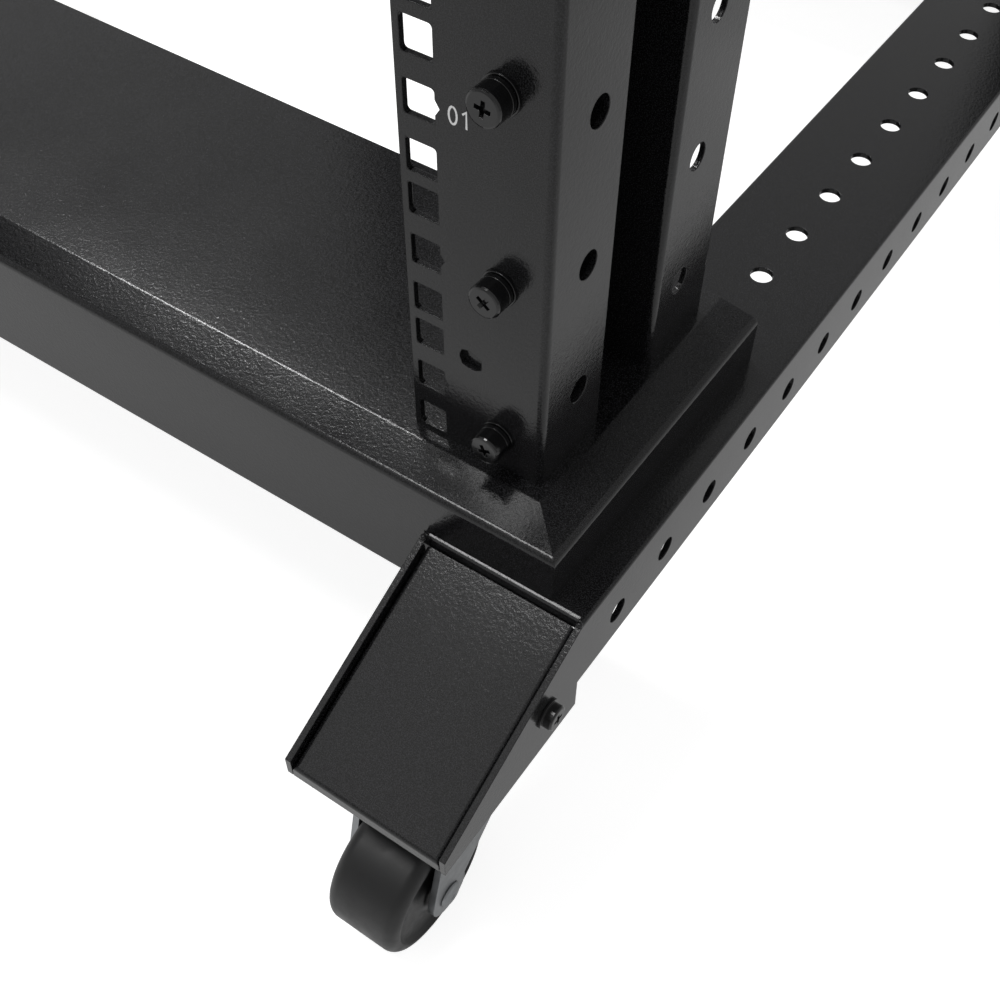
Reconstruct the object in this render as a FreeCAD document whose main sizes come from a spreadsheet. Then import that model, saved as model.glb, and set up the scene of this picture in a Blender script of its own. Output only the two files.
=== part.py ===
import FreeCAD, Part
import math
import os
import Sketcher

# A four post open frame rack for 19 inch equipment, 15 rack units high, on four casters.
# Each corner post is an angle with square holes, screwed to a folded column.  Formed pans
# join the posts at the bottom and the top, and side rails join the front to the rear.
# The base rails run on past the pans as sloping noses that carry the casters.
# Millimetres.  X is to the right, -Y is the front, Z is up, and the floor is Z = 0.

doc = FreeCAD.newDocument("open_frame_rack")
sizes = doc.addObject("Spreadsheet::Sheet", "Sizes")
V = FreeCAD.Vector

# name, value, meaning
DRIVING_SIZES = (
    ("rack_unit", 44.45, "height of one rack unit"),
    ("unit_count", 19, "rack units along a post, two spare ones below and above the fifteen"),
    ("hole_spacing", 465.1, "square hole centre to square hole centre, left to right"),
    ("hole_from_side", 37.9, "square hole centre from the outer side of the post"),
    ("square_hole", 9.3, "width and height of a square hole"),
    ("hole_low", 6.35, "lowest hole centre above the foot of its unit"),
    ("hole_step", 15.875, "hole to hole within a unit"),
    ("notch_depth", 1.35, "depth of the notch beside the middle hole of a unit"),
    ("notch_height", 4.1, "height of the notch beside the middle hole of a unit"),
    ("slot_inset", 24.2, "locating slot, in from the outer side of the post"),
    ("slot_low", 36.5, "locating slot above the foot of the post"),
    ("slot_length", 7.2, "locating slot, length"),
    ("slot_height", 6.4, "locating slot, height at its wide end"),
    ("flange_width", 44.5, "front flange of the corner angle"),
    ("angle_lip", 30.3, "side lip of the corner angle, front to back"),
    ("post_wall", 1.8, "sheet of the angles and columns"),
    ("post_bend", 2.2, "outside radius of the bends of the angles and columns"),
    ("column_front", 60.7, "outer flange of the column, behind the post face"),
    ("column_lip", 32.7, "side lip of the column, front to back"),
    ("column_web_in", 31, "web of the column, in from the outer side"),
    ("clamp_edge", 5, "edge of the clamp plate, in from the outer side"),
    ("lip_hole", 8.6, "round holes of the lips, diameter"),
    ("lip_hole_back", 18, "round hole of the angle, behind the post face"),
    ("column_hole_back", 75, "round hole of the column, behind the post face"),
    ("lip_hole_low", 24.8, "lowest round hole above the foot of the post"),
    ("lip_holes_below", 9, "lip holes under the pair that takes a bracket"),
    ("hole_stations", 22, "rail hole pitches from the front post face to the rear one"),
    ("rail_pitch", 28.9, "rail hole to rail hole"),
    ("base_height", 146, "top of the base pan above the floor"),
    ("pan_wall", 2, "sheet of the pans"),
    ("pan_depth", 122.6, "depth of a pan over its apron"),
    ("pan_height", 47.4, "height of a pan at its apron"),
    ("pan_overhang", 19.5, "apron in front of the post face"),
    ("pan_side", 17.8, "end of the pan beyond the outer side of the post"),
    ("slope_run", 14.6, "width of the sloped border of the pan"),
    ("slope_drop", 2.5, "drop of the sloped border of the pan"),
    ("pan_bend", 2.4, "outside radius of the bend between the border and the apron"),
    ("border_bend", 4, "radius of the soft bend between the flat and the border"),
    ("rail_wall", 2, "sheet of the rails"),
    ("rail_width", 57.5, "width of a side rail"),
    ("rail_height", 30.2, "height of a side rail"),
    ("rail_drop", 20.2, "top of the rail under the top of the pan"),
    ("rail_side", 29.55, "outer side of the rail beyond the outer side of the post"),
    ("rail_hole", 8.6, "round holes of the rail, diameter"),
    ("rail_hole_drop", 17.8, "side hole centre under the top of the rail"),
    ("rail_bend", 1.2, "outside radius of the long bends of the rail"),
    ("pan_stations", 4, "rail hole pitches from the post face to the first top hole"),
    ("top_holes_before", 7, "top holes in front of the pair that takes a bracket"),
    ("nose_reach", 69.5, "nose in front of the pan"),
    ("nose_tip", 7.5, "height of the nose wall at its tip"),
    ("nose_heel", 2, "back edge of the nose in front of the pan"),
    ("nose_foot", 83, "foot of the nose above the floor"),
    ("web_reach", 1, "end of the rail top in front of the pan, where it folds down"),
    ("web_lip", 5, "height of the fold at the end of the rail top"),
    ("cover_sheet", 2, "sheet of the nose cover"),
    ("cover_recess", 2.8, "nose cover under the top edges of the nose walls"),
    ("cover_gap", 1, "gap between the nose cover and the fold of the rail top"),
    ("cover_flange", 7, "height of the side flanges of the nose cover"),
    ("cover_bend", 1.7, "outside radius of the bends of the nose cover"),
    ("cover_fit", 0.3, "gap between the nose cover and what it sits against"),
    ("bracket_sheet", 2.5, "sheet of the caster bracket"),
    ("bracket_length", 60, "length of the caster bracket"),
    ("bracket_flange", 22, "height of the bracket flanges"),
    ("bracket_clear", 0.8, "bracket flanges under the flanges of the nose cover"),
    ("caster_reach", 52, "swivel axis in front of the post face"),
    ("caster_plate_width", 50, "width and length of the caster plate"),
    ("caster_plate_sheet", 2.5, "sheet of the caster plate"),
    ("race_width", 40, "swivel race, diameter at the top"),
    ("race_height", 9.5, "height of the swivel race"),
    ("swivel_gap", 0.4, "running gap between the race and the fork"),
    ("king_pin", 8, "king pin, diameter"),
    ("pin_gap", 0.15, "radial gap round the king pin and the axle"),
    ("fork_sheet", 2.5, "sheet of the fork"),
    ("fork_gap", 1.2, "gap between the wheel and each leg"),
    ("wheel_diameter", 50.8, "wheel diameter"),
    ("wheel_width", 27.5, "wheel width"),
    ("wheel_shoulder", 3.2, "bevel of the shoulders of the tread"),
    ("wheel_offset", 22, "axle in front of the swivel axis"),
    ("axle_diameter", 6, "axle diameter"),
    ("axle_end", 1, "axle beyond the outer face of each leg"),
    ("leg_round", 8.5, "rounding of the leg about the axle"),
)

for row, (name, value, meaning) in enumerate(DRIVING_SIZES, start=1):
    sizes.set("A%d" % row, name)
    sizes.set("B%d" % row, str(value))
    sizes.set("C%d" % row, meaning)
    sizes.setAlias("B%d" % row, name)

# Sizes that follow from the driving ones.
DERIVED_SIZES = (
    ("post_half", "hole_spacing / 2 + hole_from_side"),
    ("face_half", "hole_stations * rail_pitch / 2"),
    ("post_height", "unit_count * rack_unit"),
    ("top_level", "base_height + post_height"),
    ("pan_half", "post_half + pan_side"),
    ("apron_half", "face_half + pan_overhang"),
    ("rail_outer", "post_half + rail_side"),
    ("rail_inner", "rail_outer - rail_width"),
    ("rail_top", "base_height - rail_drop"),
    ("rail_bottom", "rail_top - rail_height"),
    ("rail_middle", "rail_outer - rail_width / 2"),
    ("web_end", "apron_half + web_reach"),
    ("nose_end", "apron_half + nose_reach"),
    ("tip_level", "nose_foot + nose_tip"),
    ("nose_slope", "( rail_top - tip_level ) / ( nose_end - web_end )"),
    ("cover_end", "web_end + cover_gap"),
    ("cover_high", "rail_top - nose_slope * cover_gap - cover_recess"),
    ("cover_low", "tip_level - cover_recess"),
    ("cover_drop", "cover_sheet * sqrt(1 + nose_slope * nose_slope)"),
    ("cover_width", "rail_width - 2 * rail_wall - 2 * cover_fit"),
    ("hem_back", "nose_end - cover_sheet"),
    ("bracket_top", "nose_foot + bracket_sheet"),
    ("flange_low", "bracket_top + bracket_clear"),
    ("flange_high", "cover_high - cover_flange"),
    ("flange_slope", "( flange_high - flange_low ) / ( hem_back - cover_end )"),
    ("caster_level", "nose_foot - caster_plate_sheet"),
    ("race_level", "caster_level - race_height"),
    ("crown_level", "race_level - swivel_gap"),
    ("caster_place", "face_half + caster_reach"),
    ("axle_level", "wheel_diameter / 2"),
    ("fork_inner", "wheel_width / 2 + fork_gap"),
    ("fork_outer", "fork_inner + fork_sheet"),
)

first_row = len(DRIVING_SIZES) + 2
for row, (name, formula) in enumerate(DERIVED_SIZES, start=first_row):
    sizes.set("A%d" % row, name)
    sizes.set("B%d" % row, "=" + formula)
    sizes.setAlias("B%d" % row, name)
doc.recompute()
START_SPREAD = 100
HEXAGON = math.tan(math.radians(30))


def bound(text):
    """Point every size name in a formula at the sheet."""
    words = []
    for word in text.replace("(", " ( ").replace(")", " ) ").split():
        known = word.replace("_", "a").isalpha()
        words.append("<<Sizes>>." + word if known else word)
    return " ".join(words)


def number(name):
    """Value of one size of the sheet."""
    return float(getattr(sizes, name))


sizes.Label = "Sizes"
sub_parts = []


def new_body(label):
    body = doc.addObject("PartDesign::Body", "Body_" + label)
    body.Label = label
    body.Placement = FreeCAD.Placement(V(0, 0, 0), FreeCAD.Rotation())
    sub_parts.append(body)
    return body


def origin_plane(body, role):
    for feature in body.Origin.OriginFeatures:
        if feature.Role == role:
            return feature
    raise ValueError(role)


def new_sketch(body, name, role, offset="0"):
    """Sketch on an origin plane of the body, moved along its normal by a formula."""
    sketch = body.newObject("Sketcher::SketchObject", name)
    sketch.AttachmentSupport = (origin_plane(body, role), "")
    sketch.MapMode = "FlatFace"
    sketch.setExpression("AttachmentOffset.Base.z", bound(offset))
    return sketch


def add_outline(sketch, points):
    """Closed outline of straight lines, each corner set by two formulas."""
    first = len(sketch.Geometry)
    count = len(points)
    spots = []
    for i in range(count):
        angle = 2 * math.pi * i / count
        spots.append(V(START_SPREAD * math.cos(angle), START_SPREAD * math.sin(angle), 0))
    for i in range(count):
        sketch.addGeometry(Part.LineSegment(spots[i], spots[(i + 1) % count]), False)
    for i in range(count):
        after = first + (i + 1) % count
        sketch.addConstraint(Sketcher.Constraint("Coincident", first + i, 2, after, 1))
    for i, (across, up) in enumerate(points):
        spot = spots[i]
        fix = sketch.addConstraint(Sketcher.Constraint("DistanceX", -1, 1, first + i, 1, spot.x))
        sketch.setExpression("Constraints[%d]" % fix, bound(across))
        fix = sketch.addConstraint(Sketcher.Constraint("DistanceY", -1, 1, first + i, 1, spot.y))
        sketch.setExpression("Constraints[%d]" % fix, bound(up))


def add_circle(sketch, across, up, diameter):
    """Circle whose centre and diameter are set by formulas."""
    index = sketch.addGeometry(Part.Circle(V(10, 10, 0), V(0, 0, 1), 5), False)
    fix = sketch.addConstraint(Sketcher.Constraint("DistanceX", -1, 1, index, 3, 10))
    sketch.setExpression("Constraints[%d]" % fix, bound(across))
    fix = sketch.addConstraint(Sketcher.Constraint("DistanceY", -1, 1, index, 3, 10))
    sketch.setExpression("Constraints[%d]" % fix, bound(up))
    fix = sketch.addConstraint(Sketcher.Constraint("Diameter", index, 10))
    sketch.setExpression("Constraints[%d]" % fix, bound(diameter))


def add_pad(body, name, sketch, length, reverse=False, middle=False):
    pad = body.newObject("PartDesign::Pad", name)
    pad.Profile = sketch
    pad.setExpression("Length", bound(length))
    pad.Reversed = reverse
    if middle:
        pad.Midplane = True
    doc.recompute()
    return pad


def add_pocket(body, name, sketch, length, reverse=False, middle=False):
    """Pocket that must take material away."""
    before = body.Shape.Volume
    pocket = body.newObject("PartDesign::Pocket", name)
    pocket.Profile = sketch
    pocket.setExpression("Length", bound(length))
    pocket.Reversed = reverse
    if middle:
        pocket.Midplane = True
    doc.recompute()
    if body.Shape.Volume > before - 0.01:
        raise RuntimeError(body.Label + " " + name + " cuts nothing")
    return pocket


def add_rows(body, name, feature, sketch, direction, pitch, count):
    """Repeat a feature in a row along an axis of its sketch."""
    before = body.Shape.Volume
    rows = body.newObject("PartDesign::LinearPattern", name)
    rows.Originals = [feature]
    rows.Direction = (sketch, [direction])
    rows.setExpression("Length", bound("( " + count + " - 1 ) * ( " + pitch + " )"))
    rows.setExpression("Occurrences", bound(count))
    body.Tip = rows
    doc.recompute()
    if body.Shape.Volume > before - 0.01:
        raise RuntimeError(body.Label + " " + name + " cuts nothing")
    return rows


def add_hexagon(sketch, across, up, diameter):
    """Hole with six flats, for the small holes that repeat most."""
    half = "( " + diameter + " ) / 2"
    corner = " %.5f * " % (2 * HEXAGON) + half
    flat = " %.5f * " % HEXAGON + half
    add_outline(sketch, (
        (across + " + " + corner, up),
        (across + " + " + flat, up + " + " + half),
        (across + " - " + flat, up + " + " + half),
        (across + " - " + corner, up),
        (across + " - " + flat, up + " - " + half),
        (across + " + " + flat, up + " - " + half),
    ))


def cut_row(body, name, plane, offset, start, axis, pitch, count, shape, diameter, wall):
    """Row of holes through a wall, from the centre of the first one along a sketch axis."""
    sketch = new_sketch(body, name, plane, offset)
    shape(sketch, start[0], start[1], diameter)
    pocket = add_pocket(body, name + "Cut", sketch, wall + " * 4", middle=True)
    add_rows(body, name + "Row", pocket, sketch, axis, pitch, count)


def cut_row_for_bracket(body, name, plane, offset, start, axis, pitch, count, before, diameter, wall):
    """Row of holes in which a pair, after a number of others, is turned round for a bracket."""
    along = 0 if axis == "H_Axis" else 1
    spots = []
    for passed in (before, before + " + 2"):
        spot = list(start)
        spot[along] = start[along] + " + ( " + passed + " ) * " + pitch
        spots.append(spot)
    after = count + " - ( " + before + " ) - 2"
    cut_row(body, name + "Low", plane, offset, start, axis, pitch, before, add_hexagon, diameter, wall)
    cut_row(body, name + "Pair", plane, offset, spots[0], axis, pitch, "2", add_circle, diameter, wall)
    cut_row(body, name + "High", plane, offset, spots[1], axis, pitch, after, add_hexagon, diameter, wall)


def upright_edges(body, across, back):
    """Names of the edges along Z at a place in plan."""
    names = []
    for i, edge in enumerate(body.Shape.Edges, start=1):
        box = edge.BoundBox
        thin = box.XLength < 0.01 and box.YLength < 0.01
        near = abs(box.XMin - across) < 0.01 and abs(box.YMin - back) < 0.01
        if thin and near:
            names.append("Edge%d" % i)
    return names


def level_edges(body, height, side, front):
    """Names of the edges at one height along the two ends and the apron side of a pan."""
    names = []
    for i, edge in enumerate(body.Shape.Edges, start=1):
        box = edge.BoundBox
        if abs(box.ZMin - height) > 0.05 or abs(box.ZMax - height) > 0.05:
            continue
        along_x = box.XLength > side and box.YLength < 0.05 and abs(abs(box.YMin) - front) < 0.05
        along_y = box.YLength > 20 and box.XLength < 0.05 and abs(abs(box.XMin) - side) < 0.05
        if along_x or along_y:
            names.append("Edge%d" % i)
    return names


def long_edges(body, across, height, length):
    """Names of the edges that run from front to rear at a place in the front view."""
    names = []
    for i, edge in enumerate(body.Shape.Edges, start=1):
        box = edge.BoundBox
        near = abs(box.XMin - across) < 0.01 and abs(box.ZMin - height) < 0.01
        if near and box.XLength < 0.01 and box.ZLength < 0.01 and box.YLength > length:
            names.append("Edge%d" % i)
    return names


def dress_edges(body, kind, name, edge_names, size, value):
    """Fillet or chamfer on named edges of the body, its size set by a formula."""
    if not edge_names:
        raise RuntimeError(body.Label + " " + name + " has no edges")
    base = body.Tip
    dressing = body.newObject("PartDesign::" + kind, name)
    dressing.Base = (base, edge_names)
    dressing.setExpression(size, bound(value))
    doc.recompute()


def add_fillet(body, name, edge_names, radius):
    dress_edges(body, "Fillet", name, edge_names, "Radius", radius)


SIDES = (("left", "-1", -1), ("right", "1", 1))
ENDS = (("front", "-1", -1), ("rear", "1", 1))


def post_points(side, end, plan):
    """Plan points given as (beyond the outer side, behind the face), for one corner."""
    points = []
    for beyond, behind in plan:
        across = side + " * ( post_half + " + beyond + " )"
        along = end + " * ( face_half - ( " + behind + " ) )"
        points.append((across, along))
    return points


def bend_corner(body, name, side_sign, end_sign, beyond, behind, radius):
    """Round one bend of a post, found by its corner in plan."""
    across = side_sign * (number("post_half") + beyond)
    along = end_sign * (number("face_half") - behind)
    add_fillet(body, name, upright_edges(body, across, along), radius)


def make_rack_angle(side_name, side, side_sign, end_name, end, end_sign):
    """Angle with the square holes on its flange and the round holes on its lip."""
    body = new_body("rack_angle_%s_%s" % (end_name, side_name))
    plan = new_sketch(body, "AnglePlan", "XY_Plane", "base_height")
    corners = (
        ("0", "0"),
        ("0 - flange_width", "0"),
        ("0 - flange_width", "post_wall"),
        ("0 - post_wall", "post_wall"),
        ("0 - post_wall", "angle_lip"),
        ("0", "angle_lip"),
    )
    add_outline(plan, post_points(side, end, corners))
    add_pad(body, "AngleSheet", plan, "post_height")
    bend_corner(body, "OuterBend", side_sign, end_sign, 0, 0, "post_bend")

    # One unit has three square holes, and the unit repeats up the post.
    squares = new_sketch(body, "SquareHoles", "XZ_Plane", "0 - ( " + end + " ) * face_half")
    middle = side + " * ( hole_spacing / 2 )"
    outward = " + " + side + " * ( square_hole / 2 + "
    for step in ("0", "1", "2"):
        level = "base_height + hole_low + " + step + " * hole_step"
        inward = middle + " - " + side + " * square_hole / 2"
        outer = middle + outward + "0 )"
        box = [(inward, level + " - square_hole / 2"), (outer, level + " - square_hole / 2")]
        if step == "1":
            # The middle hole has a notch on its outer side that marks the unit.
            for out, up in (("0", "-0.5"), ("1", "0"), ("0", "0.5")):
                across = middle + outward + out + " * notch_depth )"
                box.append((across, level + " + " + up + " * notch_height"))
        box.append((outer, level + " + square_hole / 2"))
        box.append((inward, level + " + square_hole / 2"))
        add_outline(squares, box)
    pocket = add_pocket(body, "UnitHoles", squares, "post_wall * 4", middle=True)
    add_rows(body, "UnitRows", pocket, squares, "V_Axis", "rack_unit", "unit_count")

    # A slot with one wide end locates the angle on the pan.
    slot = new_sketch(body, "LocatingSlot", "XZ_Plane", "0 - ( " + end + " ) * face_half")
    outline = []
    for out, up in ((0.5, 0.2), (0.2, 0.4), (-0.1, 0.5), (-0.4, 0.4), (-0.5, 0.1), (-0.5, -0.1),
                    (-0.4, -0.4), (-0.1, -0.5), (0.2, -0.5), (0.5, -0.3)):
        across = side + " * ( post_half - slot_inset + %.1f * slot_length )" % out
        outline.append((across, "base_height + slot_low + %.1f * slot_height" % up))
    add_outline(slot, outline)
    add_pocket(body, "LocatingSlotCut", slot, "post_wall * 4", middle=True)

    row = (body, "LipHoles", "YZ_Plane", side + " * post_half")
    start = (end + " * ( face_half - lip_hole_back )", "base_height + lip_hole_low")
    if end_name == "front":
        cut_row_for_bracket(*row, start, "V_Axis", "rack_unit", "unit_count", "lip_holes_below",
                            "lip_hole", "post_wall")
    else:
        cut_row(*row, start, "V_Axis", "rack_unit", "unit_count", add_hexagon, "lip_hole", "post_wall")


def make_column(side_name, side, side_sign, end_name, end, end_sign):
    """Folded column: clamp plate behind the angle, web, outer flange and side lip."""
    body = new_body("post_column_%s_%s" % (end_name, side_name))
    plan = new_sketch(body, "ColumnPlan", "XY_Plane", "base_height")
    web = "0 - column_web_in"
    corners = (
        ("0 - clamp_edge", "post_wall"),
        (web, "post_wall"),
        (web, "column_front + post_wall"),
        ("0 - post_wall", "column_front + post_wall"),
        ("0 - post_wall", "column_front + column_lip"),
        ("0", "column_front + column_lip"),
        ("0", "column_front"),
        (web + " + post_wall", "column_front"),
        (web + " + post_wall", "2 * post_wall"),
        ("0 - clamp_edge", "2 * post_wall"),
    )
    add_outline(plan, post_points(side, end, corners))
    add_pad(body, "ColumnSheet", plan, "post_height")
    wall = number("post_wall")
    web_in = -number("column_web_in")
    front = number("column_front")
    bends = (("ClampBend", web_in, wall), ("WebBend", web_in, front + wall), ("LipBend", 0, front))
    for name, beyond, behind in bends:
        bend_corner(body, name, side_sign, end_sign, beyond, behind, "post_bend")
    start = (end + " * ( face_half - column_hole_back )", "base_height + lip_hole_low")
    cut_row(body, "LipHoles", "YZ_Plane", side + " * post_half", start, "V_Axis", "rack_unit",
            "unit_count", add_hexagon, "lip_hole", "post_wall")


def rectangle(x_low, x_high, y_low, y_high):
    return ((x_low, y_low), (x_high, y_low), (x_high, y_high), (x_low, y_high))


def make_pan(name, end, level, up):
    """Formed pan with a sloped border on its apron side and its two ends.

    level is the flat face against the posts, and up is 1 where the pan hangs below it
    and -1 where it stands above it.
    """
    body = new_body(name)
    back = end + " * ( apron_half - pan_depth )"
    foot_level = level + " - " + up + " * pan_height"
    apron = end + " * apron_half"
    plan = new_sketch(body, "PanPlan", "XY_Plane", level)
    add_outline(plan, rectangle("0 - pan_half", "pan_half", apron, back))
    add_pad(body, "PanBlock", plan, "pan_height", reverse=(up == "1"))

    def slope_outline(direction, edge):
        """Wedge above the border at an edge of the pan, seen along that edge."""
        inside = direction + " * ( " + edge + " - slope_run )"
        outside = direction + " * ( " + edge + " + slope_run )"
        above = level + " + " + up + " * slope_drop"
        below = level + " - " + up + " * 2 * slope_drop"
        return ((inside, level), (outside, below), (outside, above), (inside, above))

    apron_slope = new_sketch(body, "ApronSlope", "YZ_Plane", "0")
    add_outline(apron_slope, slope_outline(end, "apron_half"))
    add_pocket(body, "ApronSlopeCut", apron_slope, "3 * pan_half", middle=True)
    end_slopes = new_sketch(body, "EndSlopes", "XZ_Plane", "0")
    for side in ("-1", "1"):
        add_outline(end_slopes, slope_outline(side, "pan_half"))
    add_pocket(body, "EndSlopesCut", end_slopes, "3 * apron_half", middle=True)
    border = number("base_height" if up == "1" else "top_level")
    fold = border - float(up) * number("slope_drop")
    flat_front = number("apron_half") - number("slope_run")
    flat_side = number("pan_half") - number("slope_run")
    add_fillet(body, "BorderBends", level_edges(body, border, flat_side, flat_front), "border_bend")
    apron_edges = level_edges(body, fold, number("pan_half"), number("apron_half"))
    add_fillet(body, "ApronBends", apron_edges, "pan_bend")

    rim = new_sketch(body, "HollowRim", "XY_Plane", level + " - " + up + " * ( slope_drop + pan_wall )")
    inner_apron = apron + " - ( " + end + " ) * pan_wall"
    inner_back = back + " + ( " + end + " ) * pan_wall"
    inner_half = "( pan_half - pan_wall )"
    add_outline(rim, rectangle("0 - " + inner_half, inner_half, inner_apron, inner_back))
    flat = new_sketch(body, "HollowFlat", "XY_Plane", level + " - " + up + " * pan_wall")
    inner_flat = "( pan_half - pan_wall - slope_run )"
    add_outline(flat, rectangle("0 - " + inner_flat, inner_flat,
                                inner_apron + " - ( " + end + " ) * slope_run", inner_back))
    before = body.Shape.Volume
    add_pocket(body, "PanHollow", rim, "pan_height", reverse=(up == "-1"))
    hollow = body.newObject("PartDesign::SubtractiveLoft", "BorderHollow")
    hollow.Profile = rim
    hollow.Sections = [flat]
    hollow.Ruled = True
    doc.recompute()
    if body.Shape.Volume > before / 2:
        raise RuntimeError(name + " is not hollow")

    # The apron hangs full height between the rails.  The rest stops at the rails.
    below = new_sketch(body, "RailNotch", "XY_Plane", foot_level)
    past_apron = apron + " + ( " + end + " ) * pan_wall"
    past_back = back + " - ( " + end + " ) * pan_wall"
    add_outline(below, (
        ("0 - pan_half - pan_wall", past_apron),
        ("0 - rail_inner", past_apron),
        ("0 - rail_inner", inner_apron),
        ("rail_inner", inner_apron),
        ("rail_inner", past_apron),
        ("pan_half + pan_wall", past_apron),
        ("pan_half + pan_wall", past_back),
        ("0 - pan_half - pan_wall", past_back),
    ))
    add_pocket(body, "RailNotchCut", below, "pan_height - rail_drop", reverse=(up == "1"))


def make_base_rail(side_name, side, side_sign):
    """Channel open below that runs on past each pan as two sloping nose walls."""
    body = new_body("base_rail_" + side_name)
    outer = side + " * rail_outer"
    outer_in = side + " * ( rail_outer - rail_wall )"
    inner = side + " * rail_inner"
    inner_in = side + " * ( rail_inner + rail_wall )"
    end_view = new_sketch(body, "RailEnd", "XZ_Plane", "0")
    add_outline(end_view, (
        (outer, "rail_top"),
        (inner, "rail_top"),
        (inner, "nose_foot"),
        (inner_in, "nose_foot"),
        (inner_in, "rail_top - rail_wall"),
        (outer_in, "rail_top - rail_wall"),
        (outer_in, "nose_foot"),
        (outer, "nose_foot"),
    ))
    add_pad(body, "RailSheet", end_view, "2 * nose_end", middle=True)
    bends = []
    for edge in ("rail_outer", "rail_inner"):
        bends += long_edges(body, side_sign * number(edge), number("rail_top"), number("nose_end"))
    add_fillet(body, "RailBends", bends, "rail_bend")

    # Cut the walls to the slope of the noses and to the height of the rail between them.
    walls = new_sketch(body, "WallCut", "YZ_Plane", side + " * rail_middle")
    add_outline(walls, rectangle("0 - apron_half - nose_heel", "apron_half + nose_heel",
                                 "nose_foot - rail_wall", "rail_bottom"))
    for end in ("-1", "1"):
        add_outline(walls, (
            (end + " * web_end", "rail_top"),
            (end + " * ( nose_end + rail_wall )", "tip_level - nose_slope * rail_wall"),
            (end + " * ( nose_end + rail_wall )", "rail_top + rail_wall"),
            (end + " * web_end", "rail_top + rail_wall"),
        ))
    add_pocket(body, "WallCutOut", walls, "2 * rail_width", middle=True)

    # The top ends in a fold in front of each pan.
    open_top = new_sketch(body, "OpenTop", "YZ_Plane", side + " * rail_middle")
    folds = new_sketch(body, "EndFolds", "YZ_Plane", side + " * rail_middle")
    for end in ("-1", "1"):
        add_outline(open_top, rectangle(end + " * web_end", end + " * ( nose_end + rail_wall )",
                                        "rail_top - 2 * rail_wall", "rail_top + rail_wall"))
        add_outline(folds, (
            (end + " * web_end", "rail_top - web_lip"),
            (end + " * web_end", "rail_top - rail_bend"),
            (end + " * ( web_end - 0.3 * rail_bend )", "rail_top - 0.3 * rail_bend"),
            (end + " * ( web_end - rail_bend )", "rail_top"),
            (end + " * ( web_end - rail_wall )", "rail_top"),
            (end + " * ( web_end - rail_wall )", "rail_top - web_lip"),
        ))
    between = "rail_width - 2 * rail_wall"
    add_pocket(body, "OpenTopCut", open_top, between, middle=True)
    corner = new_sketch(body, "FoldCorner", "YZ_Plane", side + " * rail_middle")
    for end in ("-1", "1"):
        add_outline(corner, rectangle(end + " * ( web_end - rail_wall )", end + " * ( web_end + rail_wall )",
                                      "rail_top - 2 * rail_wall", "rail_top + rail_wall"))
    add_pocket(body, "FoldCornerCut", corner, between, middle=True)
    add_pad(body, "EndFoldSheets", folds, between, middle=True)

    start = (side + " * rail_middle", "0 - face_half + pan_stations * rail_pitch")
    cut_row_for_bracket(body, "TopHoles", "XY_Plane", "rail_top", start, "V_Axis", "rail_pitch",
                        "hole_stations + 1 - 2 * pan_stations", "top_holes_before", "rail_hole", "rail_wall")
    start = ("0 - face_half", "rail_top - rail_hole_drop")
    cut_row_for_bracket(body, "SideHoles", "YZ_Plane", outer, start, "H_Axis", "rail_pitch",
                        "hole_stations + 1", "pan_stations + top_holes_before", "rail_hole", "rail_wall")


def make_top_rail(side_name, side, side_sign):
    """Channel open above that joins the two top pans."""
    body = new_body("top_rail_" + side_name)
    level = "top_level + rail_drop"
    end_view = new_sketch(body, "RailEnd", "XZ_Plane", "0")
    outer = side + " * rail_outer"
    outer_in = side + " * ( rail_outer - rail_wall )"
    inner = side + " * rail_inner"
    inner_in = side + " * ( rail_inner + rail_wall )"
    add_outline(end_view, (
        (outer, level),
        (outer, level + " + rail_height"),
        (outer_in, level + " + rail_height"),
        (outer_in, level + " + rail_wall"),
        (inner_in, level + " + rail_wall"),
        (inner_in, level + " + rail_height"),
        (inner, level + " + rail_height"),
        (inner, level),
    ))
    add_pad(body, "RailSheet", end_view, "2 * apron_half", middle=True)


def make_nose_cover(side_name, side, side_sign, end_name, end, end_sign):
    """Sloping tray between the nose walls, with side flanges and a hem at the tip."""
    body = new_body("nose_cover_%s_%s" % (end_name, side_name))
    block = new_sketch(body, "TraySide", "YZ_Plane", side + " * rail_middle")
    add_outline(block, (
        (end + " * cover_end", "cover_high"),
        (end + " * nose_end", "cover_low"),
        (end + " * nose_end", "nose_foot"),
        (end + " * hem_back", "nose_foot"),
        (end + " * hem_back", "flange_low"),
        (end + " * cover_end", "flange_high"),
    ))
    add_pad(body, "TrayBlock", block, "cover_width", middle=True)
    bends = []
    for i, edge in enumerate(body.Shape.Edges, start=1):
        box = edge.BoundBox
        top_side = box.ZMax > number("cover_high") - 0.01 and box.XLength < 0.01 and box.YLength > 0.01
        tip = box.ZMin > number("cover_low") - 0.01 and box.YLength < 0.01 and box.XLength > 0.01
        if top_side or (tip and box.ZMax < number("cover_high") - 0.01):
            bends.append("Edge%d" % i)
    add_fillet(body, "TrayBends", bends, "cover_bend")
    hollow = new_sketch(body, "TrayHollow", "YZ_Plane", side + " * rail_middle")
    start = end + " * ( cover_end - cover_sheet )"
    under = "cover_high + nose_slope * cover_sheet - cover_drop"
    tip_under = "cover_low + nose_slope * cover_sheet - cover_drop"
    add_outline(hollow, (
        (start, under),
        (end + " * hem_back", tip_under),
        (end + " * hem_back", "nose_foot"),
        (start, "nose_foot"),
    ))
    add_pocket(body, "TrayHollowCut", hollow, "cover_width - 2 * cover_sheet", middle=True)


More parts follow.
